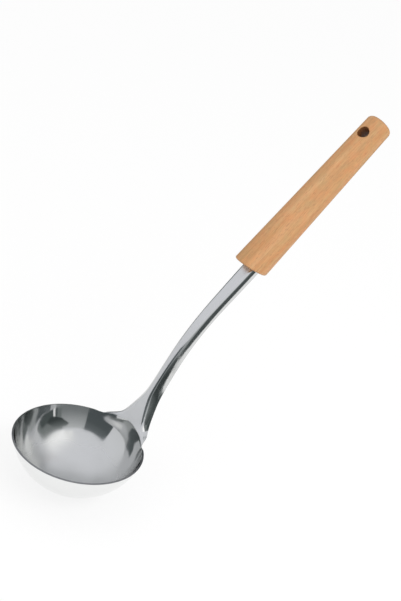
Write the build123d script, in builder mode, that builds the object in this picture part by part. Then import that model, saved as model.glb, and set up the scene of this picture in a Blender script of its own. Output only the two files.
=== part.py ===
from build123d import *
import os
from math import atan2, cos, degrees, radians, sin, sqrt, tan

# A soup ladle: a bowl and shank pressed from one sheet, and a turned beech handle
# that is glued onto the end of the shank.
#
# The bowl stands level on the flat of its base. The origin is the middle of that
# flat, +Z is up, and the shank and handle rise towards +X. Lengths are in mm.

# The sheet and the bowl
sheet = 1.3                 # thickness of the steel
rim_diameter = 90.0         # across the outside of the rim
bowl_depth = 32.0           # from the table to the rim
base_diameter = 30.0        # flat under the bowl
base_chamfer = 0.7          # between the flat and the wall, inside and outside
rim_chamfer = 0.35          # on the rim's two edges

# The line of the shank, seen from the side
neck_setback = 2.5          # how far inside the rim the front of the neck starts
neck_slope = 64.5           # degrees from level, where the neck leaves the bowl
neck_length = 75.0          # from the rim's level to the bend
bend_radius = 195.0         # gentle bend of the shank
shank_slope = 46.3          # degrees from level, at the handle
shank_length = 65.5         # from the bend to the handle
tang_length = 62.0          # hidden in the handle

# The section of the shank: a front face between two flanges bent back
fan_half_width = 22.0       # front face where it spreads into the rim
fan_hollow = 4.0            # how far the fan curls round the bowl there
waist_along = 40.0          # from the rim's level to the narrowest place
waist_half_width = 2.15     # front face at its narrowest
entry_half_width = 5.0      # front face where it enters the handle, and in the tang
flange_depth = 6.3          # how far the flanges reach back
waist_splay = 3.9           # how far each flange spreads at the waist
entry_splay = 0.9           # and at the handle
bend_round = 1.8            # outside radius of the two bends

# The handle
handle_length = 137.0       # along its axis
handle_low_diameter = 24.2
handle_tip_diameter = 19.4
handle_drop = 2.1           # its axis lies this far behind the shank's front face
end_slant = 17.5            # degrees that the lower end is off square
end_chamfer = 0.8           # on the edge of the lower end
tip_round = 3.4             # rounding of the tip
tip_crown = 2.0             # how far the tip's end is domed
hang_hole_diameter = 8.5
hang_hole_from_tip = 16.0
hang_hole_chamfer = 0.7

# The fits
slot_clearance = 0.4        # between the shank and the sides of the mortise
slot_corner = 1.0           # corner radius of the mortise
tang_end_gap = 2.0          # past the end of the tang, filled with adhesive
glue_recess = 0.8           # the adhesive stops this far inside the mortise
overrun = 5.0               # how far a cut runs past what it cuts

# Where the neck spreads into the bowl: shares of the way up to the waist, of the fan's
# extra width, of its hollow, of the waist's splay, of the flange's depth, and of the
# turn from a level section to one square to the sheet.
neck_shares = (
    (-0.10, 1.00, 1.10, 0.00, 0.12, 0.00),
    (-0.04, 1.00, 1.05, 0.00, 0.16, 0.00),
    (0.000, 0.99, 1.00, 0.05, 0.25, 0.20),
    (0.055, 0.79, 0.50, 0.15, 0.70, 0.90),
    (0.108, 0.60, 0.17, 0.30, 0.78, 1.00),
    (0.180, 0.455, 0.00, 0.48, 0.80, 1.00),
    (0.300, 0.322, 0.00, 0.70, 0.82, 1.00),
    (0.400, 0.235, 0.00, 0.84, 0.85, 1.00),
    (0.515, 0.150, 0.00, 0.93, 0.89, 1.00),
    (0.635, 0.080, 0.00, 0.98, 0.93, 1.00),
    (0.780, 0.025, 0.00, 1.00, 0.98, 1.00),
)
# From the waist to the handle: shares of the way, of the gain in width and of the
# splay that is left over from the waist.
shank_shares = (
    (0.10, 0.12, 0.78),
    (0.30, 0.46, 0.30),
    (0.55, 0.70, 0.05),
    (1.00, 1.00, 0.00),
)

# Worked out from the sizes above
rim_radius = rim_diameter / 2
base_radius = base_diameter / 2
ball_height = (rim_radius**2 + bowl_depth**2 - base_radius**2) / (2 * bowl_depth)
ball_radius = sqrt(base_radius**2 + ball_height**2)
neck_start = waist_along * -neck_shares[0][0]
low_radius = handle_low_diameter / 2
tip_radius = handle_tip_diameter / 2


def along_slope(length, slope):
    """Run and rise of a length at a slope in degrees."""
    return length * cos(radians(slope)), length * sin(radians(slope))


# The front face of the shank follows this line, from just below the rim to the tang's end
neck_run, neck_rise = along_slope(neck_length, neck_slope)
shank_run, shank_rise = along_slope(shank_length, shank_slope)
tang_run, tang_rise = along_slope(tang_length, shank_slope)
start_run, start_rise = along_slope(neck_start, neck_slope)
neck_foot = rim_radius - neck_setback, bowl_depth
bend_point = neck_foot[0] + neck_run, neck_foot[1] + neck_rise
entry_point = bend_point[0] + shank_run, bend_point[1] + shank_rise
with BuildLine(Plane.XZ) as spine:
    FilletPolyline(
        (neck_foot[0] - start_run, neck_foot[1] - start_rise),
        bend_point,
        (entry_point[0] + tang_run, entry_point[1] + tang_rise),
        radius=bend_radius,
    )
spine_wire = spine.wire()
entry_along = spine_wire.length - tang_length


def bowl_body(radius, floor):
    """Body of revolution under a ball of this radius, with a flat at the height called floor."""
    floor_radius = sqrt(radius**2 - (ball_height - floor) ** 2)
    flank = along_slope(radius, -45)
    with BuildPart() as body:
        with BuildSketch(Plane.XZ) as half:
            with BuildLine():
                Polyline((radius, ball_height), (0, ball_height), (0, floor), (floor_radius, floor))
                ThreePointArc(
                    (floor_radius, floor), (flank[0], ball_height + flank[1]), (radius, ball_height)
                )
            make_face()
            edge_of_flat = half.vertices().sort_by_distance((floor_radius, 0, floor))[0]
            chamfer(edge_of_flat, length=base_chamfer)
        revolve(axis=Axis.Z)
    return body.part


def shank_section(along, lean, inset, half_width, hollow, splay, depth, corner):
    """Outline of the shank across its line, or of the space inside it.

    along is measured from the start of the line. A lean of 0 gives a level section and
    1 a section square to the sheet. The front face dips by hollow in its middle. A round
    corner leads to each flange, which spreads by splay over its depth, and a corner of 0
    is left sharp.
    """
    origin = spine_wire.position_at(along, position_mode=PositionMode.LENGTH)
    tangent = spine_wire.tangent_at(along, position_mode=PositionMode.LENGTH)
    slope = degrees(atan2(tangent.Z, tangent.X))
    facing = radians(90 + (slope - 90) * lean)
    front = Vector(-sin(facing), 0, cos(facing))
    across_sheet = inset / cos(facing - radians(slope))
    plane = Plane(
        origin=origin - front * across_sheet,
        x_dir=(0, 1, 0),
        z_dir=(cos(facing), 0, sin(facing)),
    )
    leg = sqrt(splay**2 + depth**2)
    half_width = half_width - across_sheet * (leg - splay) / depth
    corner = min(corner, leg / 2, half_width / 2)
    shoulder = half_width - corner
    crease = hollow + corner * tan(2 * atan2(hollow, shoulder))
    bend_end = Vector(half_width + corner * splay / leg, crease - corner * depth / leg)
    run_past = 1 + inset / sheet * overrun / depth
    flange_end = Vector(half_width + splay * run_past, crease - depth * run_past)
    closing = -2 * (depth * run_past + sheet * hollow / fan_hollow) - flange_end.Y
    mirrored = [Vector(-point.X, point.Y) for point in (bend_end, flange_end)]
    with BuildSketch(plane) as section:
        with BuildLine():
            if hollow > 0:
                ThreePointArc((-shoulder, hollow), (0, 0), (shoulder, hollow))
            else:
                Line((-shoulder, 0), (shoulder, 0))
            if corner > 0:
                TangentArc((shoulder, hollow), bend_end, tangent=(corner, crease - hollow))
            Line(bend_end, flange_end)
            Bezier(flange_end, (0, closing), mirrored[1])
            Line(mirrored[1], mirrored[0])
            if corner > 0:
                TangentArc((-shoulder, hollow), mirrored[0], tangent=(-corner, crease - hollow))
        make_face()
    return section.sketch


def shank_sections(inset, corner):
    """Sections from inside the bowl's wall to the handle."""
    sections = []
    for along, width, hollow, splay, depth, lean in neck_shares:
        sections.append(
            shank_section(
                neck_start + waist_along * along,
                lean,
                inset,
                waist_half_width + (fan_half_width - waist_half_width) * width,
                fan_hollow * hollow,
                waist_splay * splay,
                flange_depth * depth,
                corner,
            )
        )
    waist = neck_start + waist_along
    for along, width, splay in shank_shares:
        sections.append(
            shank_section(
                waist + (entry_along - waist) * along,
                1,
                inset,
                waist_half_width + (entry_half_width - waist_half_width) * width,
                0,
                entry_splay + (waist_splay - entry_splay) * splay,
                flange_depth,
                corner,
            )
        )
    return sections


# The bowl's outer and inner forms, both carried up past the rim for the neck
outer_ball = bowl_body(ball_radius, 0)
inner_ball = bowl_body(ball_radius - sheet, sheet)

# The plain bowl, cut level at the rim
with BuildPart() as bowl:
    add(outer_ball)
    add(inner_ball, mode=Mode.SUBTRACT)
    split(bisect_by=Plane.XY.offset(bowl_depth), keep=Keep.BOTTOM)
    chamfer(bowl.edges().filter_by(GeomType.CIRCLE).group_by(Axis.Z)[-1], length=rim_chamfer)

# The space behind the front face, sharp where the sheet is bent, leaves the bowl's wall whole
space_sections = shank_sections(sheet, 0)
with BuildPart() as shank_space:
    loft(sections=space_sections, ruled=True)
    extrude(space_sections[-1], amount=tang_length)
    add(outer_ball, mode=Mode.SUBTRACT)

# The pressing: the neck rises out of the bowl's wall and becomes the channel of the shank,
# which runs on straight as the tang
outer_sections = shank_sections(0, bend_round)
neck_sections = len(neck_shares)
with BuildPart() as bowl_and_shank:
    loft(sections=outer_sections[:neck_sections])
    loft(sections=outer_sections[neck_sections - 1 :])
    extrude(outer_sections[-1], amount=tang_length)
    add(bowl.part)
    add(inner_ball, mode=Mode.SUBTRACT)
    add(shank_space.part, mode=Mode.SUBTRACT)

# The handle's axis starts where the slanted lower end crosses it
handle_dir = Vector(cos(radians(shank_slope)), 0, sin(radians(shank_slope)))
front_dir = Vector(-sin(radians(shank_slope)), 0, cos(radians(shank_slope)))
slant_rate = tan(radians(end_slant))
entry = Vector(entry_point[0], 0, entry_point[1])
handle_start = entry - front_dir * handle_drop + handle_dir * handle_drop * slant_rate
handle_side = Plane(origin=handle_start, x_dir=handle_dir, z_dir=(0, -1, 0))
handle_end = Plane(origin=handle_start, x_dir=(0, 1, 0), z_dir=handle_dir)
handle_tip = handle_start + handle_dir * handle_length
low_reach = low_radius * slant_rate + overrun
low_gain = (low_radius - tip_radius) * low_reach / handle_length
slant_dir = handle_dir.rotate(Axis.Y, -end_slant)

# The mortise takes the shank where it enters, so it is as wide as the shank is there
slot_width = 2 * (entry_half_width + entry_splay + slot_clearance)
slot_height = flange_depth + 2 * slot_clearance
slot_middle = handle_drop - flange_depth / 2
slot_depth = tang_length + tang_end_gap
glue_start = (slot_height / 2 - slot_middle) * slant_rate + glue_recess

# The handle, turned to a taper, cut at a slant, mortised and drilled
with BuildPart() as wood_handle:
    with BuildSketch(handle_side) as turning:
        with BuildLine():
            Polyline(
                (handle_length, 0),
                (-low_reach, 0),
                (-low_reach, low_radius + low_gain),
                (handle_length - tip_crown, tip_radius),
            )
            RadiusArc(
                (handle_length - tip_crown, tip_radius),
                (handle_length, 0),
                (tip_radius**2 + tip_crown**2) / (2 * tip_crown),
            )
        make_face()
        tip_corner = turning.vertices().sort_by_distance(
            handle_side.from_local_coords((handle_length - tip_crown, tip_radius))
        )[0]
        fillet(tip_corner, radius=tip_round)
    revolve(axis=Axis(handle_start, handle_dir))
    split(bisect_by=Plane(origin=handle_start, z_dir=slant_dir), keep=Keep.TOP)
    low_face = wood_handle.faces().sort_by_distance(handle_start)[0]
    chamfer(low_face.edges(), length=end_chamfer)
    with BuildSketch(handle_end.offset(-low_reach)):
        with Locations((0, slot_middle)):
            RectangleRounded(slot_width, slot_height, slot_corner)
    extrude(amount=low_reach + slot_depth, mode=Mode.SUBTRACT)
    hole_middle = handle_tip - handle_dir * hang_hole_from_tip
    with Locations(Plane(origin=hole_middle, z_dir=front_dir)):
        Hole(hang_hole_diameter / 2)
    hole_wall = wood_handle.faces().filter_by(GeomType.CYLINDER).sort_by_distance(hole_middle)[0]
    chamfer(hole_wall.edges().filter_by(GeomType.LINE, reverse=True), length=hang_hole_chamfer)

# The adhesive fills the mortise round the tang, which leaves its own shape in it
with BuildPart() as tang_adhesive:
    with BuildSketch(handle_end.offset(glue_start)):
        with Locations((0, slot_middle)):
            RectangleRounded(slot_width, slot_height, slot_corner)
    extrude(amount=slot_depth - glue_start)
    add(bowl_and_shank.part, mode=Mode.SUBTRACT)

os.makedirs("parts", exist_ok=True)
for label, piece in (
    ("bowl_and_shank", bowl_and_shank),
    ("wood_handle", wood_handle),
    ("tang_adhesive", tang_adhesive),
):
    piece.part.label = label
    export_step(piece.part, f"parts/{label}.step")
    print(label, "solids", len(piece.solids()), "volume", round(piece.part.volume))
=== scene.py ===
# %% [markdown]
# # A soup ladle
# The ladle is one pressing of stainless sheet, a round bowl whose wall rises into a
# neck and then into a channel-shaped shank, and a turned beech handle glued onto it.
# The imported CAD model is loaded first. It is the frame that every piece keeps to.

# %% Load the frame
from math import acos, asin, atan2, cos, pi, radians, sin, sqrt, tan

import bmesh
import bpy
from mathutils import Matrix, Vector


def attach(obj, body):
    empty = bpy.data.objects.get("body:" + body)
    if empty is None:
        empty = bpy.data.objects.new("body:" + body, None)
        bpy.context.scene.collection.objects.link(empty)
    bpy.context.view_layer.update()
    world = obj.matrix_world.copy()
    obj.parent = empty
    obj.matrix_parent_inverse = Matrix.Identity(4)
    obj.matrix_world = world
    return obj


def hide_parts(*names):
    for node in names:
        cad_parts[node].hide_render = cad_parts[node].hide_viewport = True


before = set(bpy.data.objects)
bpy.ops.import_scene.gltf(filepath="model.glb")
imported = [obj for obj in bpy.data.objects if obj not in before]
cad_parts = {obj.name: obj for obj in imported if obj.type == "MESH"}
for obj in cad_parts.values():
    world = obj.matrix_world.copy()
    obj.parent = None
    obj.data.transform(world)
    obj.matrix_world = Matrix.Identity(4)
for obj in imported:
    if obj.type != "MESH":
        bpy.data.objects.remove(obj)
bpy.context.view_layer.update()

# %% [markdown]
# ## The camera
# The ladle is seen from above and from the bowl's side, through a long lens. The
# camera looks from a place to an aim, and is rolled a little about its own axis.

# %% Camera
CAMERA_PLACE = Vector((-0.635432, -0.615041, 0.645118))
CAMERA_AIM = Vector((0.080678, -0.00063, 0.127771))
CAMERA_ROLL = radians(15.617)
LENS = 95.935
SENSOR_WIDTH = 36
FAR_LIMIT = 10

camera_data = bpy.data.cameras.new("camera")
camera_data.lens = LENS
camera_data.sensor_width = SENSOR_WIDTH
camera_data.clip_end = FAR_LIMIT
camera = bpy.data.objects.new("camera", camera_data)
look = CAMERA_AIM - CAMERA_PLACE
turn = look.to_track_quat("-Z", "Y").to_matrix() @ Matrix.Rotation(CAMERA_ROLL, 3, "Z")
camera.matrix_world = Matrix.Translation(CAMERA_PLACE) @ turn.to_4x4()
bpy.context.scene.collection.objects.link(camera)
bpy.context.scene.camera = camera
bpy.context.scene.view_settings.view_transform = "Standard"
print("camera", round(look.length, 3), "m from its aim")

# %% [markdown]
# ## Finishes are small node trees
# Each finish is a material with a Principled shader. A few short helpers add nodes and
# give their sockets a value, or the output of another node where the value is one. The
# same helpers serve for the table and the world, which have node trees too.

# %% Helpers for any node tree
def wire(owner, node, sockets):
    """Gives each socket of a node its value, or links another node's output to it."""
    for socket, value in sockets.items():
        if isinstance(value, bpy.types.NodeSocket):
            owner.node_tree.links.new(value, node.inputs[socket])
        else:
            node.inputs[socket].default_value = value
    return node


def add_node(owner, kind, sockets, **settings):
    """Adds a shader node with its settings and its sockets' values."""
    node = owner.node_tree.nodes.new("ShaderNode" + kind)
    for setting, value in settings.items():
        setattr(node, setting, value)
    return wire(owner, node, sockets)


def new_finish(name):
    """A material and its Principled shader."""
    material = bpy.data.materials.new(name)
    material.use_nodes = True
    return material, material.node_tree.nodes["Principled BSDF"]


# %% [markdown]
# Wear and grain are noises. A noise is turned into a range of roughness, into colours by
# a ramp, or into a bump, so each of these has a helper too. The noise keeps mostly
# between 0.3 and 0.7, which is therefore the usual range to start from.

# %% Helpers for noise, ranges, colours and bumps
def object_place(owner):
    """Place of the shaded point, in metres."""
    return add_node(owner, "TexCoord", {}).outputs["Object"]


def noise(owner, place, scale, detail, roughness=0.5):
    """A cloudy noise over a place."""
    sockets = {"Vector": place, "Scale": scale, "Detail": detail, "Roughness": roughness}
    return add_node(owner, "TexNoise", sockets).outputs["Fac"]


def spread(owner, value, low, high, source=(0.3, 0.7)):
    """Carries a value from its own range over to another."""
    sockets = {"Value": value, "From Min": source[0], "From Max": source[1]}
    sockets.update({"To Min": low, "To Max": high})
    return add_node(owner, "MapRange", sockets).outputs["Result"]


def ramp(owner, factor, stops):
    """A colour ramp over a factor; each stop is a place and a colour."""
    node = add_node(owner, "ValToRGB", {"Fac": factor})
    for element, (place_on_ramp, colour) in zip(node.color_ramp.elements, stops):
        element.position = place_on_ramp
        element.color = (*colour, 1)
    for place_on_ramp, colour in stops[2:]:
        node.color_ramp.elements.new(place_on_ramp).color = (*colour, 1)
    return node.outputs["Color"]


def bump(owner, height, strength, distance, over=None, invert=False):
    """A bump by a height, laid over another bump if one is given."""
    sockets = {"Height": height, "Strength": strength, "Distance": distance}
    if over:
        sockets["Normal"] = over
    return add_node(owner, "Bump", sockets, invert=invert).outputs["Normal"]


# %% [markdown]
# ## The studio: a white table
# The ladle stands on a wide white table that fills the picture to its edges, as a roll of
# paper does in a photographer's studio. Plain white paint would turn grey away from the
# lamp. So the camera and gloss see mostly a white glow, with a share of the painted
# table that keeps a faint shadow, while the light itself meets only the paint.

# %% The table
TABLE_RADIUS = 4.0
TABLE_STEPS = 96
TABLE_WHITE = 0.96
SHADOW_SHARE = 0.25
WHITE = (1, 1, 1, 1)


def mesh_object(name, shape, materials=()):
    """Makes an object of a shape, which is used up."""
    mesh = bpy.data.meshes.new(name)
    shape.to_mesh(mesh)
    shape.free()
    for material in materials:
        mesh.materials.append(material)
    piece = bpy.data.objects.new(name, mesh)
    bpy.context.scene.collection.objects.link(piece)
    return piece


def stage_piece(name, shape, material):
    """Makes a part of the studio from a shape in metres."""
    piece = mesh_object(name, shape, [material])
    return piece


def seen_background(owner):
    """1 for rays of the camera and of gloss and clear pieces, 0 for the light itself."""
    rays = add_node(owner, "LightPath", {})
    total = rays.outputs["Is Camera Ray"]
    for ray in ("Is Glossy Ray", "Is Transmission Ray"):
        sockets = {0: total, 1: rays.outputs[ray]}
        total = add_node(owner, "Math", sockets, operation="MAXIMUM").outputs[0]
    return total


table_top, unused_shader = new_finish("table_top")
table_top.node_tree.nodes.remove(unused_shader)
table_colour = (TABLE_WHITE, TABLE_WHITE, TABLE_WHITE, 1)
paint = add_node(table_top, "BsdfDiffuse", {"Color": table_colour})
glow = add_node(table_top, "Emission", {"Color": WHITE, "Strength": 1.0})
shares = {0: seen_background(table_top), 1: 1 - SHADOW_SHARE}
glow_share = add_node(table_top, "Math", shares, operation="MULTIPLY")
parts = {0: glow_share.outputs[0], 1: paint.outputs[0], 2: glow.outputs[0]}
table_mix = add_node(table_top, "MixShader", parts)
table_output = table_top.node_tree.nodes["Material Output"]
wire(table_top, table_output, {"Surface": table_mix.outputs[0]})
table_shape = bmesh.new()
bmesh.ops.create_circle(
    table_shape, cap_ends=True, segments=TABLE_STEPS, radius=TABLE_RADIUS
)
stage_piece("table", table_shape, table_top)
print("table of", 2 * TABLE_RADIUS, "m across")

# %% [markdown]
# ### The lamp and the world
# One wide soft box lights the ladle from the camera's right, as a lamp behind a cloth
# does, and the white world fills the shadows. The lamp itself is hidden: what the steel
# shows of it are two cards of the next step, whose edges can be placed more freely.

# %% The world and the soft box
WORLD_LIGHT = 0.90
BOX_AZIMUTH, BOX_ELEVATION, BOX_DISTANCE = -82, 50, 1.3
BOX_WIDTH, BOX_HEIGHT = 1.15, 0.5
BOX_POWER = 4.4

world = bpy.data.worlds.new("studio")
bpy.context.scene.world = world
world.use_nodes = True
sky_level = spread(world, seen_background(world), WORLD_LIGHT, 1.0, source=(0, 1))
wire(world, world.node_tree.nodes["Background"], {"Color": WHITE, "Strength": sky_level})


def towards(azimuth, elevation):
    """The direction with an azimuth and an elevation in degrees."""
    flat = cos(radians(elevation))
    x, y = flat * cos(radians(azimuth)), flat * sin(radians(azimuth))
    return Vector((x, y, sin(radians(elevation))))


soft_box_light = bpy.data.lights.new("soft_box", "AREA")
soft_box_light.shape = "RECTANGLE"
soft_box_light.size = BOX_WIDTH
soft_box_light.size_y = BOX_HEIGHT
soft_box_light.energy = BOX_POWER
soft_box = bpy.data.objects.new("soft_box", soft_box_light)
soft_box.location = BOX_DISTANCE * towards(BOX_AZIMUTH, BOX_ELEVATION)
soft_box.rotation_euler = soft_box.location.to_track_quat("Z", "Y").to_euler()
soft_box.visible_camera = False
soft_box.visible_glossy = False
bpy.context.scene.collection.objects.link(soft_box)
print("soft box at", [round(value, 2) for value in soft_box.location])

# %% [markdown]
# ### What the steel reflects
# Polished steel has no colour of its own: it shows the room. A photographer hangs a light
# grey tent round it, and sets darker cards inside, so that the steel gets dark and light
# areas with clear edges. Here too, but only rays of gloss see the tent and the cards:
# they give no light and take none away. Each shows a plain grey of its own.

# %% The tent
TENT_RADIUS = 2.5
TENT_DETAIL = 4


def only_in_reflections(piece):
    """Hides a piece from all but the rays of gloss."""
    for rays in ("camera", "diffuse", "transmission", "volume_scatter", "shadow"):
        setattr(piece, "visible_" + rays, False)


def grey_cloth(name, low_grey, top_grey=None, heights=(0, 1)):
    """A cloth or card with its own grey, which may change from its foot to its top."""
    cloth = new_finish(name)[0]
    shown = add_node(cloth, "Emission", {"Color": (*low_grey, 1), "Strength": 1.0})
    if top_grey:
        spot = add_node(cloth, "SeparateXYZ", {"Vector": object_place(cloth)})
        share = spread(cloth, spot.outputs["Z"], 0, 1, source=heights)
        wire(cloth, shown, {"Color": ramp(cloth, share, ((0, low_grey), (1, top_grey)))})
    cloth_output = cloth.node_tree.nodes["Material Output"]
    wire(cloth, cloth_output, {"Surface": shown.outputs[0]})
    return cloth


tent_shape = bmesh.new()
bmesh.ops.create_icosphere(tent_shape, subdivisions=TENT_DETAIL, radius=TENT_RADIUS)
tent_cloth = grey_cloth("tent", (0.74, 0.75, 0.77), (0.84, 0.85, 0.89), (0.2, 2.0))
only_in_reflections(stage_piece("tent", tent_shape, tent_cloth))
print("tent of", 2 * TENT_RADIUS, "m across")

# %% [markdown]
# ### Cards bent round the bowl
# A bowl shows its surroundings by direction, so most cards are bent round it. Each row of
# the table gives a card's azimuths and elevations in degrees, seen from the middle of the
# table, its distance in metres, and the grey of its foot and of its top. The two parts of
# the soft box are bright, and the light gap is a narrow streak close to the bowl.

# %% Bent cards
CARD_STEPS = 24
BENT_CARDS = (
    ("soft_box_front", (-98, -36), (40, 64), 1.2, (1.3, 1.3, 1.3), None),
    ("soft_box_side", (-118, -98), (42, 64), 1.2, (1.04, 1.04, 1.04), None),
    ("dark_card", (-192, -140), (-1, 26), 0.42, (0.085, 0.10, 0.105), (0.10, 0.115, 0.12)),
    ("dark_card_top", (-192, -140), (26, 40), 0.42, (0.11, 0.125, 0.13), (0.17, 0.19, 0.20)),
    ("grey_card", (-140, -93), (-1, 40), 0.42, (0.12, 0.135, 0.14), (0.60, 0.62, 0.63)),
    ("side_card", (-94, -40), (-1, 39), 0.6, (0.17, 0.19, 0.19), (0.24, 0.26, 0.26)),
    ("light_gap", (-76, -72), (15, 29), 0.12, (1.0, 1.0, 1.0), None),
    ("neck_card", (-12, 24), (-1, 42), 0.42, (0.11, 0.13, 0.13), (0.15, 0.17, 0.18)),
    ("back_card", (24, 82), (-1, 41), 0.42, (0.10, 0.12, 0.12), (0.12, 0.14, 0.14)),
)

for name, azimuths, elevations, distance, low_grey, top_grey in BENT_CARDS:
    card = bmesh.new()
    corners = []
    for elevation in elevations:
        corner = towards(azimuths[0], elevation)
        spot = corner * distance / sqrt(corner.x**2 + corner.y**2)
        corners.append(card.verts.new(spot))
    bmesh.ops.spin(
        card,
        geom=corners + [card.edges.new(corners)],
        cent=(0, 0, 0),
        axis=(0, 0, 1),
        angle=radians(azimuths[1] - azimuths[0]),
        steps=CARD_STEPS,
    )
    heights = [distance * tan(radians(elevation)) for elevation in elevations]
    cloth = grey_cloth(name, low_grey, top_grey, heights)
    only_in_reflections(stage_piece(name, card, cloth))
print("bent cards:", len(BENT_CARDS))

# %% [markdown]
# ### Cards for the flange
# The flange that is turned to the camera is nearly flat, so it mirrors one small part of
# the room. The low card stands folded on the table and darkens the flange's upper half.
# The near card is a small plate beside the neck. It gives the lower half a black band,
# and beyond its outline the flange keeps a light lip.

# %% Low card and near card
LOW_CARD_HEIGHT = 0.17
LOW_CARD_FOOT = (
    (0.36, -0.45), (0.235, -0.262), (0.093, -0.452), (-0.10, -0.95), (-0.25, -1.6),
)
NEAR_CARD_Y = -0.09
NEAR_CARD_OUTLINE = (
    (0.024, 0.057), (0.044, 0.055), (0.054, 0.063), (0.063, 0.070), (0.055, 0.079),
    (0.036, 0.092), (0.010, 0.098), (-0.010, 0.098), (-0.022, 0.090), (0.004, 0.066),
)
VERT, EDGE, FACE = bmesh.types.BMVert, bmesh.types.BMEdge, bmesh.types.BMFace


def only(items, kind):
    """The items of one kind among those that an operator made."""
    return [item for item in items if isinstance(item, kind)]


low_card = bmesh.new()
foot_verts = [low_card.verts.new((x, y, 0)) for x, y in LOW_CARD_FOOT]
foot_edges = [low_card.edges.new(pair) for pair in zip(foot_verts, foot_verts[1:])]
grown = bmesh.ops.extrude_edge_only(low_card, edges=foot_edges)["geom"]
bmesh.ops.translate(low_card, verts=only(grown, VERT), vec=(0, 0, LOW_CARD_HEIGHT))
low_cloth = grey_cloth("low_card", (0.085, 0.10, 0.10))
only_in_reflections(stage_piece("low_card", low_card, low_cloth))

near_card = bmesh.new()
near_verts = [near_card.verts.new((x, NEAR_CARD_Y, z)) for x, z in NEAR_CARD_OUTLINE]
bmesh.ops.contextual_create(near_card, geom=near_verts)
near_cloth = grey_cloth("near_card", (0.05, 0.06, 0.06), (0.19, 0.21, 0.21), (0.068, 0.098))
only_in_reflections(stage_piece("near_card", near_card, near_cloth))
print("cards for the flange: 2")

# %% [markdown]
# ## The pressing, as one sheet
# Bowl, neck and shank are pressed from one blank, and no seam shows between them. They
# are modelled as one surface, the side of the sheet that faces the cook, and get their
# thickness at the end. All lengths here are in millimetres, as on a workshop drawing,
# and each piece is brought to metres when it is done.

# %% Sizes of the pressing
SHEET = 1.3
RIM_RADIUS = 45.0
BOWL_DEPTH = 32.0
BASE_RADIUS = 15.0
BALL_HEIGHT = (RIM_RADIUS**2 + BOWL_DEPTH**2 - BASE_RADIUS**2) / (2 * BOWL_DEPTH)
BALL_INSIDE = sqrt(BASE_RADIUS**2 + BALL_HEIGHT**2) - SHEET
BALL_CENTRE = Vector((0, 0, BALL_HEIGHT))
ROUND_STEPS = 96
MERGE_DISTANCE = 0.001
NEAR = 0.01
print("ball of the bowl: centre", round(BALL_HEIGHT, 2), "inside radius", round(BALL_INSIDE, 2))

# %% [markdown]
# ### The bowl
# A real bowl is drawn over a polished punch, so its inside is a true surface of
# revolution. One vertex at the foot of the wall is spun about the ball's centre, which
# gives the wall's profile, and the floor is extruded inwards from the same vertex, dished
# so that it leaves the wall without a corner and is level in the middle. A full spin
# about the upright axis then makes the bowl, and merging closes its middle.

# %% Helpers for turned shapes
def next_point(shape, vert, spot):
    """Grows a profile from its end vertex to a spot, and gives the new end."""
    new_end = bmesh.ops.extrude_vert_indiv(shape, verts=[vert])["verts"][0]
    new_end.co = spot
    return new_end


def spin_round(shape, steps, centre=(0, 0, 0), axis=(0, 0, 1)):
    """Spins a profile once round an axis, and merges its seam and its poles."""
    bmesh.ops.spin(
        shape,
        geom=shape.verts[:] + shape.edges[:],
        cent=centre,
        axis=axis,
        angle=2 * pi,
        steps=steps,
        use_merge=True,
    )
    bmesh.ops.remove_doubles(shape, verts=shape.verts[:], dist=MERGE_DISTANCE)


# %% Profile of the bowl
DISH_RADIUS = 22.0
WALL_STEPS = 8
DISH_SHARES = (0.85, 0.7, 0.54, 0.37, 0.19, 0)

pressing = bmesh.new()
crease_mark = pressing.edges.layers.float.new("crease_edge")
grain_map = pressing.loops.layers.uv.new("grain")
foot_turn = asin(DISH_RADIUS / BALL_INSIDE)
foot_height = BALL_HEIGHT - BALL_INSIDE * cos(foot_turn)
foot = pressing.verts.new((DISH_RADIUS, 0, foot_height))
wall_turn = acos((BALL_HEIGHT - BOWL_DEPTH) / BALL_INSIDE) - foot_turn
bmesh.ops.spin(
    pressing, geom=[foot], cent=BALL_CENTRE, axis=(0, -1, 0), angle=wall_turn, steps=WALL_STEPS
)
dish_rise = foot_height - SHEET
dish_bend = DISH_RADIUS * tan(foot_turn) / 2 - dish_rise
inner_end = foot
for share in DISH_SHARES:
    height = SHEET + (dish_rise - dish_bend) * share**2 + dish_bend * share**4
    inner_end = next_point(pressing, inner_end, (DISH_RADIUS * share, 0, height))
print("profile of", len(pressing.verts), "points")

# %% Spin the profile into the bowl
spin_round(pressing, ROUND_STEPS)
print("bowl of", len(pressing.faces), "faces")

# %% [markdown]
# ### The line and the sections of the shank
# Seen from the side the shank leaves the bowl steeply, bends gently and runs on to the
# handle. Across that line its section changes from a wide curled fan to a narrow channel
# and back to a wider one. The table gives, for each place along the line, half the width
# of the front face, its hollow, how far a flange spreads and reaches back, and the lean
# of the section. Values between the rows are read off a smooth curve.

# %% The line of the shank, seen from the side
LINE_START = Vector((RIM_RADIUS - 2.5, 0, BOWL_DEPTH))
LOW_SLOPE = radians(64.5)
HIGH_SLOPE = radians(46.3)
BEND_RADIUS = 195.0
BEFORE_BEND = 43.77
BEND_LENGTH = BEND_RADIUS * (LOW_SLOPE - HIGH_SLOPE)
SHANK_END = 139.97
TANG_LENGTH = 62.0


def on_line(along):
    """Point and slope of the shank's line, measured from the rim's level."""
    turned = min(max(along - BEFORE_BEND, 0), BEND_LENGTH)
    slope = LOW_SLOPE - turned / BEND_RADIUS
    before = min(along, BEFORE_BEND)
    after = max(along - BEFORE_BEND - BEND_LENGTH, 0)
    point = LINE_START + before * Vector((cos(LOW_SLOPE), 0, sin(LOW_SLOPE)))
    low_normal = Vector((sin(LOW_SLOPE), 0, -cos(LOW_SLOPE)))
    point += BEND_RADIUS * (low_normal - Vector((sin(slope), 0, -cos(slope))))
    return point + after * Vector((cos(slope), 0, sin(slope))), slope


print("shank enters the handle at", [round(value, 1) for value in on_line(SHANK_END)[0]])

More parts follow.
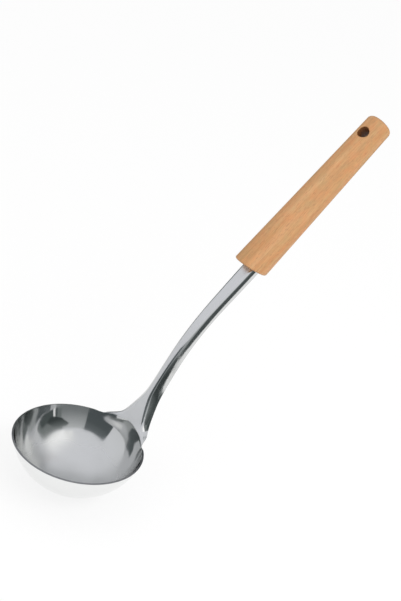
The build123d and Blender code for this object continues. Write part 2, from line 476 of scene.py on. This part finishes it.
# %% The sections of the shank: place, half width, hollow, spread, depth and lean
SECTIONS = (
    (-4.0, 22.00, 4.40, 0.00, 0.76, 0.00),
    (-1.6, 22.00, 4.20, 0.00, 1.01, 0.00),
    (0.00, 21.80, 4.00, 0.20, 1.58, 0.20),
    (2.20, 17.83, 2.00, 0.59, 4.41, 0.90),
    (4.32, 14.06, 0.68, 1.17, 4.91, 1.00),
    (7.20, 11.18, 0.00, 1.87, 5.04, 1.00),
    (12.0, 8.54, 0.00, 2.73, 5.17, 1.00),
    (16.0, 6.81, 0.00, 3.28, 5.36, 1.00),
    (20.6, 5.13, 0.00, 3.63, 5.61, 1.00),
    (25.4, 3.74, 0.00, 3.82, 5.86, 1.00),
    (31.2, 2.65, 0.00, 3.90, 6.17, 1.00),
    (50.0, 2.49, 0.00, 3.24, 6.30, 1.00),
    (70.0, 3.46, 0.00, 1.80, 6.30, 1.00),
    (95.0, 4.15, 0.00, 1.05, 6.30, 1.00),
    (SHANK_END, 5.00, 0.00, 0.90, 6.30, 1.00),
    (SHANK_END + TANG_LENGTH, 5.00, 0.00, 0.90, 6.30, 1.00),
)


def section_at(along):
    """Half width, hollow, spread, depth and lean of the section at a place."""
    rows = [row for row in SECTIONS if row[0] <= along]
    index = min(max(len(rows) - 1, 0), len(SECTIONS) - 2)
    low, high = SECTIONS[index], SECTIONS[index + 1]
    before, after = SECTIONS[max(index - 1, 0)], SECTIONS[min(index + 2, len(SECTIONS) - 1)]
    step = high[0] - low[0]
    share = min(max((along - low[0]) / step, 0), 1)
    values = []
    for column in range(1, 6):
        rate = (high[column] - low[column]) / step
        low_rate = (high[column] - before[column]) / (high[0] - before[0])
        high_rate = (after[column] - low[column]) / (after[0] - low[0])
        bend = (low_rate - rate) * (1 - share) - (high_rate - rate) * share
        values.append(low[column] + share * step * (rate + bend * (1 - share)))
    return values


narrowest = min(section_at(along)[0] for along in range(int(SHANK_END)))
print("front face at its narrowest, half of it:", round(narrowest, 2))

# %% [markdown]
# ### Points of a section
# A section is drawn from the middle of its front face outwards: the front, the round of
# the bend, and the flange, which gets a slight crown as pressed metal has. A lean of 0
# stands for a level section and 1 for one that is square to the line.

# %% Points of the front face and of the flanges
BEND_ROUND = 1.8
BEND_MIDDLE = 0.26
FLANGE_CROWN = 0.3


def section_axes(along, lean):
    """Origin of the section and its forward direction."""
    origin, slope = on_line(along)
    facing = pi / 2 + (slope - pi / 2) * lean
    return origin, Vector((-sin(facing), 0, cos(facing)))


def front_point(along, across):
    """Point of the front face; across runs from -1 at one bend to 1 at the other."""
    half_width, hollow, spread_out, depth, lean = section_at(along)
    origin, forward = section_axes(along, lean)
    corner = min(BEND_ROUND, sqrt(spread_out**2 + depth**2) / 2, half_width / 2)
    shoulder = half_width - corner
    return origin + forward * hollow * across**2 + Vector((0, shoulder * across, 0))


def flange_point(along, side, step):
    """Point of a bend or flange: step 1 is in the bend, 2 at its end, 4 at the free edge."""
    half_width, hollow, spread_out, depth, lean = section_at(along)
    origin, forward = section_axes(along, lean)
    leg = sqrt(spread_out**2 + depth**2)
    corner = min(BEND_ROUND, leg / 2, half_width / 2)
    crease = hollow * (1 + 2 * corner / (half_width - corner))
    in_bend = BEND_MIDDLE * corner
    crown = FLANGE_CROWN * min(leg / depth, 1)
    down = {1: in_bend, 2: corner, 3: (leg + corner) / 2, 4: leg}[step] / leg
    inset = {1: in_bend, 2: 0, 3: -crown, 4: 0}[step]
    width = half_width + spread_out * down - inset
    return origin + forward * (crease - depth * down) + Vector((0, side * width, 0))


# %% [markdown]
# ### The crease between bowl and neck
# Inside the bowl the wall runs up past the rim until it meets the front of the neck in
# a sharp crease, highest in the middle. Sixteen edges of the rim are lifted onto that
# crease. It is found by walking up the neck's front until the bowl's ball is left.

# %% Lift part of the rim onto the crease
FAN_STEPS = 8
WALK_STEP = 0.01


def crease_along(across):
    """How far up the line the front face leaves the bowl's inside."""
    along = 0
    while (front_point(along, across) - BALL_CENTRE).length < BALL_INSIDE:
        along += WALK_STEP
    return along


fan_angle = 2 * pi / ROUND_STEPS * FAN_STEPS
rim_verts = [vert for vert in pressing.verts if vert.co.z > BOWL_DEPTH - NEAR]
crease_verts = [vert for vert in rim_verts if abs(atan2(vert.co.y, vert.co.x)) < fan_angle + NEAR]
crease_verts.sort(key=lambda vert: vert.co.y)
across_shares = [step / FAN_STEPS for step in range(-FAN_STEPS, FAN_STEPS + 1)]
crease_places = [crease_along(across) for across in across_shares]
for vert, across, along in zip(crease_verts, across_shares, crease_places):
    vert.co = front_point(along, across)
print("crease, up the neck:", [round(along, 1) for along in crease_places])

# %% [markdown]
# ### Neck and shank
# The crease's edges are extruded upwards, one row at a time, and each new row is laid on
# its section. The two long sides are then extruded back in four steps: two round the
# bend and two down the flange. At the crease the flange has no depth, so its first
# points are merged into one.

# %% Rows of the front face
FAN_TOP = 7.2
FAN_ROWS = 4
NECK_ROWS = [9.5, 12, 14, 16, 18.3, 20.6, 23, 25.4, 28.2, 31.2, 35.5, 40]
SHANK_ROWS = 14
TANG_ROWS = 4

neck_top = NECK_ROWS[-1]
level_rows = NECK_ROWS + [
    neck_top + (SHANK_END - neck_top) * step / SHANK_ROWS for step in range(1, SHANK_ROWS + 1)
]
level_rows += [SHANK_END + TANG_LENGTH * step / TANG_ROWS for step in range(1, TANG_ROWS + 1)]
rows = [
    [low + (FAN_TOP - low) * step / FAN_ROWS for low in crease_places]
    for step in range(1, FAN_ROWS + 1)
]
rows += [[along] * len(across_shares) for along in level_rows]
print("rows up the neck, shank and tang:", len(rows))

# %% Extrude the front face row by row
grain = {vert: (vert.co.y, along) for vert, along in zip(crease_verts, crease_places)}
crease_set = set(crease_verts)
crease_edges = [edge for edge in pressing.edges if set(edge.verts) <= crease_set]
row_edges = crease_edges
front_faces = []
sides = {
    -1: [(crease_verts[0], crease_places[0])],
    1: [(crease_verts[-1], crease_places[-1])],
}
for row in rows:
    grown = bmesh.ops.extrude_edge_only(pressing, edges=row_edges)["geom"]
    new_verts = sorted(only(grown, VERT), key=lambda vert: vert.co.y)
    row_set = set(new_verts)
    row_edges = [edge for edge in only(grown, EDGE) if set(edge.verts) <= row_set]
    front_faces += only(grown, FACE)
    for vert, across, along in zip(new_verts, across_shares, row):
        vert.co = front_point(along, across)
        grain[vert] = (vert.co.y, along)
    sides[-1].append((new_verts[0], row[0]))
    sides[1].append((new_verts[-1], row[-1]))
print("front face of", len(front_faces), "faces")

# %% Extrude the two flanges
flange_faces = []
for side, chain in sides.items():
    for step in (1, 2, 3, 4):
        chain_set = {vert for vert, along in chain}
        chain_edges = [edge for edge in pressing.edges if set(edge.verts) <= chain_set]
        grown = bmesh.ops.extrude_edge_only(pressing, edges=chain_edges)["geom"]
        new_verts = sorted(only(grown, VERT), key=lambda vert: vert.co.z)
        flange_faces += only(grown, FACE)
        chain = [(vert, along) for vert, (old, along) in zip(new_verts, chain)]
        for vert, along in chain[1:]:
            vert.co = flange_point(along, side, step)
            grain[vert] = (side * (abs(vert.co.y) + step), along)
        grain[chain[0][0]] = (side * step, chain[0][1])
print("flanges of", len(flange_faces), "faces")

# %% [markdown]
# ### Marks on the surface
# The crease is marked so that smoothing keeps it fairly sharp. The front faces get the
# second material, which is brushed, and a UV map in millimetres, across and along the
# shank, lets the brushing follow it. Then doubled points are merged, and the faces are
# turned to the cook if they aren't already.

# %% Mark the finishes, the crease and the direction of the grain
CREASE_SHARPNESS = 0.75
BRUSHED = 1

for edge in crease_edges:
    edge[crease_mark] = CREASE_SHARPNESS
for face in front_faces + flange_faces:
    for loop in face.loops:
        loop[grain_map].uv = grain[loop.vert]
for face in front_faces:
    face.material_index = BRUSHED
corner_spots = [chain[0][0].co.copy() for chain in sides.values()]
bmesh.ops.remove_doubles(pressing, verts=pressing.verts[:], dist=MERGE_DISTANCE)
middle_face = min(pressing.faces, key=lambda face: face.calc_center_median().length)
if middle_face.normal.z < 0:
    bmesh.ops.reverse_faces(pressing, faces=pressing.faces[:])
for face in pressing.faces:
    face.smooth = True
print("pressing of", len(pressing.faces), "faces")

# %% [markdown]
# ### Ease the start of the flanges
# A press can't start a flange abruptly: the sheet leaves the rim in a soft sweep. So the
# points of each flange near its start are smoothed a few times, which pulls them
# towards their neighbours, while the front face and the bowl stay as they are.

# %% Smooth the flange next to the rim
EASED_REACH = 9.0
EASED_TIMES = 4

flange_set = set(face for face in flange_faces if face.is_valid)
flange_verts = [
    vert for vert in pressing.verts if vert.link_faces and set(vert.link_faces) <= flange_set
]
eased_verts = [
    vert
    for vert in flange_verts
    if min((vert.co - spot).length for spot in corner_spots) < EASED_REACH
]
for repeat in range(EASED_TIMES):
    bmesh.ops.smooth_vert(
        pressing, verts=eased_verts, factor=0.5, use_axis_x=True, use_axis_y=True, use_axis_z=True
    )
print("eased", len(eased_verts), "points")

# %% [markdown]
# ## Steel, polished inside
# The inside of the bowl and the sides of the shank are polished after pressing. Under the
# gloss the sheet keeps faint waves from the punch, and turning marks that run round the
# bowl, so both are a very small bump. The floor is duller than the wall, because a
# polishing wheel reaches it less well, and the roughness varies a little everywhere.

# %% Polished steel
# The polished side gets a darker steel colour than the mirror side of the same sheet: painted
# shade inside the bowl and on the flanges.
POLISHED_SHADED_COLOUR = (0.66, 0.665, 0.66, 1)
POLISHED_HEIGHTS = (0.008, 0.020)
FLOOR_ROUGHNESS, WALL_ROUGHNESS = 0.32, 0.08
TURNING_MARKS = {"Scale": 400.0, "Distortion": 2.0, "Detail": 3.0, "Detail Scale": 0.02}

polished_steel, polished = new_finish("polished_steel")
place = object_place(polished_steel)
waves = noise(polished_steel, place, 42.0, 2.0)
round_marks = add_node(
    polished_steel,
    "TexWave",
    {"Vector": place, **TURNING_MARKS},
    wave_type="RINGS",
    rings_direction="Z",
)
wave_bump = bump(polished_steel, waves, 0.5, 0.0002)
mark_bump = bump(polished_steel, round_marks.outputs["Fac"], 0.25, 0.000004, over=wave_bump)
height_in_bowl = add_node(polished_steel, "SeparateXYZ", {"Vector": place}).outputs["Z"]
dullness = spread(
    polished_steel, height_in_bowl, FLOOR_ROUGHNESS, WALL_ROUGHNESS, source=POLISHED_HEIGHTS
)
cloudy = spread(polished_steel, noise(polished_steel, place, 70.0, 4.0), -0.03, 0.05)
roughness = add_node(polished_steel, "Math", {0: dullness, 1: cloudy}, operation="ADD")
wire(
    polished_steel,
    polished,
    {
        "Base Color": POLISHED_SHADED_COLOUR,
        "Metallic": 1.0,
        "Roughness": roughness.outputs[0],
        "Normal": mark_bump,
    },
)
print("finish:", polished_steel.name)

# %% [markdown]
# ### The other steel finishes
# The outside is buffed to a mirror, with only soft waves left. The front of the shank is
# brushed along its length: its grain is a noise that is stretched by a Mapping node along
# the UV map. The cut edge of the sheet is only ground, so it is duller, and its dark colour
# is painted shade that draws a dark line along the rim.

# %% Mirror polish of the outside
mirror_steel, mirror = new_finish("mirror_steel")
outside_waves = noise(mirror_steel, object_place(mirror_steel), 30.0, 2.0)
wire(
    mirror_steel,
    mirror,
    {
        # Lighter than the polished side of the same sheet, which carries the painted shade.
        "Base Color": (0.86, 0.865, 0.86, 1),
        "Metallic": 1.0,
        "Roughness": spread(mirror_steel, outside_waves, 0.09, 0.15),
        "Normal": bump(mirror_steel, outside_waves, 0.4, 0.0002),
    },
)
print("finish:", mirror_steel.name)

# %% Brushed steel
BRUSH_STRETCH = (6.0, 0.09, 1.0)
BRUSH_COLOURS = ((0.25, (0.65, 0.655, 0.655)), (0.75, (0.73, 0.735, 0.74)))

satin_steel, satin = new_finish("satin_steel")
grain_place = add_node(satin_steel, "UVMap", {}, uv_map="grain").outputs["UV"]
stretched = add_node(satin_steel, "Mapping", {"Vector": grain_place, "Scale": BRUSH_STRETCH})
brushing = noise(satin_steel, stretched.outputs[0], 1.0, 5.0, roughness=0.65)
wire(
    satin_steel,
    satin,
    {
        "Base Color": ramp(satin_steel, brushing, BRUSH_COLOURS),
        "Metallic": 1.0,
        "Roughness": spread(satin_steel, brushing, 0.26, 0.40),
        "Normal": bump(satin_steel, brushing, 0.35, 0.00002),
    },
)
print("finish:", satin_steel.name)

# %% Ground edge of the sheet, with painted shade
# The dark colours are painted shade, a dark line along the cut edge and inside the channel; the
# ground finish itself is the higher roughness.
GROUND_AND_SHADE_COLOURS = ((0.3, (0.20, 0.205, 0.21)), (0.7, (0.29, 0.295, 0.30)))

shaded_edge_steel, ground = new_finish("ground_edge_painted_shade")
scratches = noise(shaded_edge_steel, object_place(shaded_edge_steel), 600.0, 3.0)
wire(
    shaded_edge_steel,
    ground,
    {
        "Base Color": ramp(shaded_edge_steel, scratches, GROUND_AND_SHADE_COLOURS),
        "Metallic": 1.0,
        "Roughness": spread(shaded_edge_steel, scratches, 0.30, 0.42),
    },
)
print("finish:", shaded_edge_steel.name)

# %% [markdown]
# ### From a surface to a sheet
# Solidify gives the surface its 1.3 mm on the far side, a small bevel breaks the cut
# edges of the sheet as tumbling does, and Subdivision Surface smooths the whole. Solidify
# also hands out the other finishes: the mirror to the far side of the polished faces, and
# the ground one with its painted shade to the cut edge and to the back of the brushed
# front, deep in the channel, which it darkens.

# %% Thickness, broken edges and smoothing
MM = 0.001
EDGE_ROUND = 0.25
EDGE_ANGLE = radians(60)
SMOOTHNESS = 2


def finished_piece(shape, name, materials):
    """Makes an object of a shape in millimetres, in its place in metres."""
    bmesh.ops.scale(shape, vec=(MM, MM, MM), verts=shape.verts[:])
    piece = mesh_object(name, shape, materials)
    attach(piece, "root")
    return piece


def add_modifier(piece, name, kind, **settings):
    """Adds a modifier with its settings to a piece."""
    modifier = piece.modifiers.new(name, kind)
    for setting, value in settings.items():
        setattr(modifier, setting, value)


steel_finishes = [polished_steel, satin_steel, mirror_steel, shaded_edge_steel]
steel = finished_piece(pressing, "pressed_steel", steel_finishes)
add_modifier(
    steel,
    "thickness",
    "SOLIDIFY",
    thickness=SHEET * MM,
    offset=-1,
    use_even_offset=True,
    use_quality_normals=True,
    material_offset=steel_finishes.index(mirror_steel),
    # The cut edge's finish, with its painted shade, also lands on the back of the brushed front
    # inside the channel.
    material_offset_rim=steel_finishes.index(shaded_edge_steel),
)
add_modifier(
    steel,
    "broken_edges",
    "BEVEL",
    width=EDGE_ROUND * MM,
    segments=2,
    limit_method="ANGLE",
    angle_limit=EDGE_ANGLE,
)
add_modifier(steel, "smoothing", "SUBSURF", levels=SMOOTHNESS, render_levels=SMOOTHNESS)
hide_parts("bowl_and_shank")
print("modifiers:", [modifier.name for modifier in steel.modifiers])

# %% [markdown]
# ## The beech handle
# A turner starts from a square blank of beech, turns it to a taper with a softly rounded
# tip, saws the lower end at a slant and rounds its edge. It is modelled in the same
# order, standing upright: one vertex grows into the profile, a spin turns it, a plane
# cuts the slant, and a bevel rounds the edge.

# %% Sizes of the handle
HANDLE_LENGTH = 137.0
LOW_RADIUS = 12.1
TIP_RADIUS = 9.7
TIP_ROUND = 3.4
TIP_CROWN = 2.0
BELOW_START = 9.0
TAPER = (LOW_RADIUS - TIP_RADIUS) / (HANDLE_LENGTH - TIP_CROWN)
CROWN_RADIUS = (TIP_RADIUS**2 + TIP_CROWN**2) / (2 * TIP_CROWN)
CROWN_CENTRE = Vector((0, 0, HANDLE_LENGTH - CROWN_RADIUS))
SETTLE_TIMES = 6


def turned_radius(height):
    """Radius of the handle's taper at a height."""
    return LOW_RADIUS - TAPER * height


round_centre = Vector((TIP_RADIUS - TIP_ROUND, 0, HANDLE_LENGTH - TIP_CROWN))
for repeat in range(SETTLE_TIMES):
    round_centre.x = turned_radius(round_centre.z) - TIP_ROUND * sqrt(1 + TAPER**2)
    reach = sqrt((CROWN_RADIUS - TIP_ROUND) ** 2 - round_centre.x**2)
    round_centre.z = CROWN_CENTRE.z + reach
print("centre of the tip's round", [round(value, 2) for value in round_centre])

# %% Profile of the turned handle
TURNING_ROWS = (9, 25, 45, 65, 85, 100, 108, 112, 114.5, 117, 119, 121, 123, 125, 127.5, 130)
TIP_STEPS, CROWN_STEPS = 8, 6

crown_turn = atan2(round_centre.x, round_centre.z - CROWN_CENTRE.z)
taper_turn = atan2(TAPER, 1)
round_turn = pi / 2 - crown_turn - taper_turn
round_start = round_centre + TIP_ROUND * Vector((cos(taper_turn), 0, sin(taper_turn)))

handle = bmesh.new()
profile_end = handle.verts.new((turned_radius(-BELOW_START), 0, -BELOW_START))
for height in TURNING_ROWS + (round_start.z,):
    profile_end = next_point(handle, profile_end, (turned_radius(height), 0, height))
for centre, angle, steps in (
    (round_centre, round_turn, TIP_STEPS),
    (CROWN_CENTRE, crown_turn, CROWN_STEPS),
):
    spun = bmesh.ops.spin(
        handle, geom=[profile_end], cent=centre, axis=(0, -1, 0), angle=angle, steps=steps
    )
    profile_end = only(spun["geom_last"], VERT)[0]
print("tip of the profile", [round(value, 3) for value in profile_end.co])

# %% Turn it, saw the slant and round its edge
END_SLANT = radians(17.5)
END_ROUND = 1.6
END_STEPS = 5
SHARP_ANGLE = radians(50)

spin_round(handle, ROUND_STEPS)
bmesh.ops.bisect_plane(
    handle,
    geom=handle.verts[:] + handle.edges[:] + handle.faces[:],
    plane_co=(0, 0, 0),
    plane_no=(sin(END_SLANT), 0, cos(END_SLANT)),
    clear_inner=True,
)
open_edges = [edge for edge in handle.edges if edge.is_boundary]
bmesh.ops.contextual_create(handle, geom=open_edges)
two_sided = [edge for edge in handle.edges if len(edge.link_faces) == 2]
bmesh.ops.bevel(
    handle,
    geom=[edge for edge in two_sided if edge.calc_face_angle(0) > SHARP_ANGLE],
    offset=END_ROUND,
    offset_type="OFFSET",
    segments=END_STEPS,
    profile=0.5,
    affect="EDGES",
    material=-1,
)
bmesh.ops.recalc_face_normals(handle, faces=handle.faces[:])
print("turned handle of", len(handle.faces), "faces")

# %% [markdown]
# ### Hanging hole
# The hanging hole is drilled through near the tip, and its edges are sanded round. The
# drill is a shape of its own that a Boolean modifier takes out of the handle later. Its
# profile has a round and a flare at its end, and each point is then moved out by as much
# as the round wood stands out there, so that the sanded edge is as wide all round. The
# points of the inner end are put at a marked place first, by which they are known when
# they are brought to the middle, where a mirror joins the two halves.

# %% Cutter for the hanging hole
HOLE_HEIGHT = HANDLE_LENGTH - 16.0
HOLE_RADIUS = 4.25
HOLE_ROUND = 0.6
HOLE_STEPS = 64
ROUND_TURN, ROUND_SHARES = radians(60), 3
FLARE = 2.5 * Vector((0.5, 0, 0.87))
MARKED = -20

hole_cutter = bmesh.new()
rim_point = Vector((-HOLE_ROUND, 0, HOLE_HEIGHT + HOLE_RADIUS))
edge_vert = hole_cutter.verts.new(rim_point)
next_point(hole_cutter, edge_vert, (MARKED, rim_point.y, rim_point.z))
spun = bmesh.ops.spin(
    hole_cutter,
    geom=[edge_vert],
    cent=rim_point + Vector((0, 0, HOLE_ROUND)),
    axis=(0, -1, 0),
    angle=ROUND_TURN,
    steps=ROUND_SHARES,
)
round_end = only(spun["geom_last"], VERT)[0]
flare_end = next_point(hole_cutter, round_end, round_end.co + FLARE)
next_point(hole_cutter, flare_end, (flare_end.co.x, flare_end.co.y, HOLE_HEIGHT))
spin_round(hole_cutter, HOLE_STEPS, centre=(0, 0, HOLE_HEIGHT), axis=(1, 0, 0))
for vert in hole_cutter.verts:
    if vert.co.x < MARKED / 2:
        vert.co.x = 0
    else:
        vert.co.x += sqrt(turned_radius(vert.co.z) ** 2 - vert.co.y**2)
bmesh.ops.mirror(
    hole_cutter,
    geom=hole_cutter.verts[:] + hole_cutter.edges[:] + hole_cutter.faces[:],
    axis="X",
    merge_dist=MERGE_DISTANCE,
)
bmesh.ops.recalc_face_normals(hole_cutter, faces=hole_cutter.faces[:])
print("hole cutter of", len(hole_cutter.faces), "faces")

# %% [markdown]
# ### Mortise
# The mortise is chopped into the lower end to take the tang. Its cutter is a block with
# rounded long edges, which reaches out of the handle's end so that the cut is clean.

# %% Cutter for the mortise
MORTISE_SIZE = (7.1, 12.6, 76.0)
MORTISE_MIDDLE = -1.05
MORTISE_DEPTH = 64.0
MORTISE_CORNER = 1.0
LONG = 20

mortise_cutter = bmesh.new()
bmesh.ops.create_cube(mortise_cutter, size=1.0)
bmesh.ops.scale(mortise_cutter, vec=MORTISE_SIZE, verts=mortise_cutter.verts[:])
bmesh.ops.bevel(
    mortise_cutter,
    geom=[edge for edge in mortise_cutter.edges if edge.calc_length() > LONG],
    offset=MORTISE_CORNER,
    segments=3,
    profile=0.5,
    affect="EDGES",
    material=-1,
)
mortise_place = (MORTISE_MIDDLE, 0, MORTISE_DEPTH - MORTISE_SIZE[2] / 2)
bmesh.ops.translate(mortise_cutter, vec=mortise_place, verts=mortise_cutter.verts[:])
print("mortise cutter of", len(mortise_cutter.faces), "faces")

# %% [markdown]
# ### Cut the handle and put it in its place
# Two Boolean modifiers cut the handle. Their result is read from the evaluated object and
# the cutters are thrown away. The finished mesh is then turned onto the shank's upper
# line, so the object itself stays at the origin and unturned.

# %% Cut, and put the handle in its place
HANDLE_START = Vector((122.0168, 0, 146.0761))
HANDLE_DIR = Vector((cos(HIGH_SLOPE), 0, sin(HIGH_SLOPE)))
FRONT_DIR = Vector((-sin(HIGH_SLOPE), 0, cos(HIGH_SLOPE)))

handle_frame = Matrix((FRONT_DIR, HANDLE_DIR.cross(FRONT_DIR), HANDLE_DIR)).transposed()
handle_place = Matrix.Translation(HANDLE_START) @ handle_frame.to_4x4()
turned = mesh_object("turned", handle)
cutters = [
    mesh_object("hole_cutter", hole_cutter),
    mesh_object("mortise_cutter", mortise_cutter),
]
for cutter in cutters:
    settings = {"operation": "DIFFERENCE", "solver": "EXACT", "object": cutter}
    add_modifier(turned, cutter.name, "BOOLEAN", **settings)
evaluated = turned.evaluated_get(bpy.context.evaluated_depsgraph_get())
drilled = bmesh.new()
drilled.from_mesh(bpy.data.meshes.new_from_object(evaluated))
for piece in [turned] + cutters:
    bpy.data.objects.remove(piece)
bmesh.ops.transform(drilled, matrix=handle_place, verts=drilled.verts[:])
print("drilled handle of", len(drilled.faces), "faces")

# %% [markdown]
# ### Beech
# Beech is a pale, even wood with a pinkish tan. Close up it has fine fibres, broader
# streaks from the year rings, and many short dark flecks where the rays are cut. Each is
# a noise, stretched along the handle by a Mapping node that also turns it to the
# handle's axis. Sizes are in millimetres across and along the grain.

# %% Helpers for the wood
beech, wood = new_finish("beech")
wood_place = object_place(beech)


def in_handle(origin, scale):
    """Place seen from an origin on the handle, turned to its axis and scaled."""
    sockets = {"Vector": wood_place, "Location": origin * MM, "Scale": scale}
    sockets["Rotation"] = handle_frame.to_euler()
    return add_node(beech, "Mapping", sockets, vector_type="TEXTURE").outputs[0]


def wood_pattern(across, along, detail, roughness=0.5):
    """Noise in the wood with cells of a size across and along the grain."""
    stretched_place = in_handle(HANDLE_START, (across * MM, across * MM, along * MM))
    return noise(beech, stretched_place, 1.0, detail, roughness)


def mixed(factor, first, second, blend="MIX"):
    """Mixes two colours."""
    sockets = {"Fac": factor, "Color1": first, "Color2": second}
    return add_node(beech, "MixRGB", sockets, blend_type=blend).outputs["Color"]


# %% Streaks, mottle, fibres and flecks
STREAK_COLOURS = (
    (0.30, (0.490, 0.248, 0.098)), (0.50, (0.556, 0.298, 0.130)), (0.70, (0.625, 0.355, 0.172)),
)
MOTTLE_COLOURS = ((0.30, (0.57, 0.48, 0.43)), (0.70, (0.48, 0.525, 0.50)))
FIBRE_COLOURS = ((0.30, (0.40, 0.39, 0.38)), (0.70, (0.58, 0.58, 0.58)))
FLECK_SHARES = ((0.58, (0, 0, 0)), (0.70, (0.50, 0.50, 0.50)))
FLECK_COLOUR = (0.36, 0.165, 0.07, 1)

streaks = ramp(beech, wood_pattern(5.0, 90.0, 3.0), STREAK_COLOURS)
mottle = ramp(beech, wood_pattern(4.0, 9.0, 2.0), MOTTLE_COLOURS)
tinted = mixed(0.9, streaks, mottle, "OVERLAY")
fibre_noise = wood_pattern(0.45, 14.0, 3.0, 0.6)
fibrous = mixed(0.75, tinted, ramp(beech, fibre_noise, FIBRE_COLOURS), "OVERLAY")
fleck_noise = wood_pattern(0.55, 3.2, 1.0)
flecked = mixed(ramp(beech, fleck_noise, FLECK_SHARES), fibrous, FLECK_COLOUR)
print("wood patterns: streaks, mottle, fibres and flecks")

# %% [markdown]
# The sawn end and the tip show end grain, which drinks more oil and is darker: it is
# where the surface faces along the grain. Inside the hanging hole the wood gets a painted
# shade, a dark colour that fades out with the distance from the hole's axis. Fibres and
# flecks are also felt, as a fine bump.

# %% End grain, painted shade in the hole and the surface
END_SHARES = ((0.45, (0, 0, 0)), (0.95, (0.45, 0.45, 0.45)))
END_COLOUR = (0.30, 0.14, 0.06, 1)
# Painted shade in the hanging hole: a dark colour mixed in close round the hole's axis.
HOLE_PAINTED_SHADE = 0.85
HOLE_SHADE_COLOUR = (0.18, 0.062, 0.016, 1)
HOLE_SHADE_REACH = (HOLE_RADIUS + 0.05, HOLE_RADIUS + 0.3)

facing = add_node(beech, "NewGeometry", {}).outputs["Normal"]
along_grain = add_node(beech, "VectorMath", {0: facing, 1: HANDLE_DIR}, operation="DOT_PRODUCT")
end_grain = add_node(beech, "Math", {0: along_grain.outputs["Value"]}, operation="ABSOLUTE")
end_share = ramp(beech, end_grain.outputs[0], END_SHARES)
worn = mixed(end_share, flecked, END_COLOUR)
from_hole = in_handle(HANDLE_START + HOLE_HEIGHT * HANDLE_DIR, (1.0, MM, MM))
hole_distance = add_node(beech, "VectorMath", {0: from_hole}, operation="LENGTH")
# Painted shade on the wall of the hanging hole, fading out away from its axis.
hole_shade_share = spread(beech, hole_distance.outputs["Value"], HOLE_PAINTED_SHADE, 0.0, source=HOLE_SHADE_REACH)
fleck_bump = bump(beech, fleck_noise, 0.35, 0.00005, invert=True)
wire(
    beech,
    wood,
    {
        "Base Color": mixed(hole_shade_share, worn, HOLE_SHADE_COLOUR),
        "Roughness": spread(beech, fibre_noise, 0.52, 0.42),
        "Normal": bump(beech, fibre_noise, 0.3, 0.00004, over=fleck_bump),
    },
)
print("finish:", beech.name)

# %% Finish the handle
handle_piece = finished_piece(drilled, "beech_handle", [beech])
handle_piece.data.shade_smooth()
handle_piece.data.set_sharp_from_angle(angle=radians(32))
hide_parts("wood_handle")
print("beech handle of", len(handle_piece.data.polygons), "faces")

# %% [markdown]
# ### The adhesive
# A two-part adhesive fills the mortise round the tang and ends just inside it. It cures
# to a hard amber mass with a few cloudy parts, coloured very dark as painted shade in the
# gap where the tang enters. It is the CAD solid as packed, whose place in the mortise is
# exact, with a finish of its own.

# %% Cured adhesive
# Very dark for an amber glue: painted shade in the gap where the tang enters the handle.
AMBER_AND_SHADE_COLOURS = ((0.35, (0.075, 0.040, 0.018)), (0.70, (0.15, 0.085, 0.040)))
AMBER_ROUGHNESS = 0.38

adhesive, amber = new_finish("cured_adhesive")
cloud = noise(adhesive, object_place(adhesive), 300.0, 3.0)
wire(
    adhesive,
    amber,
    {
        "Base Color": ramp(adhesive, cloud, AMBER_AND_SHADE_COLOURS),
        "Roughness": AMBER_ROUGHNESS,
        "Normal": bump(adhesive, cloud, 0.5, 0.0001),
    },
)
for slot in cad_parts["tang_adhesive"].material_slots:
    slot.material = adhesive
print("finish:", adhesive.name)
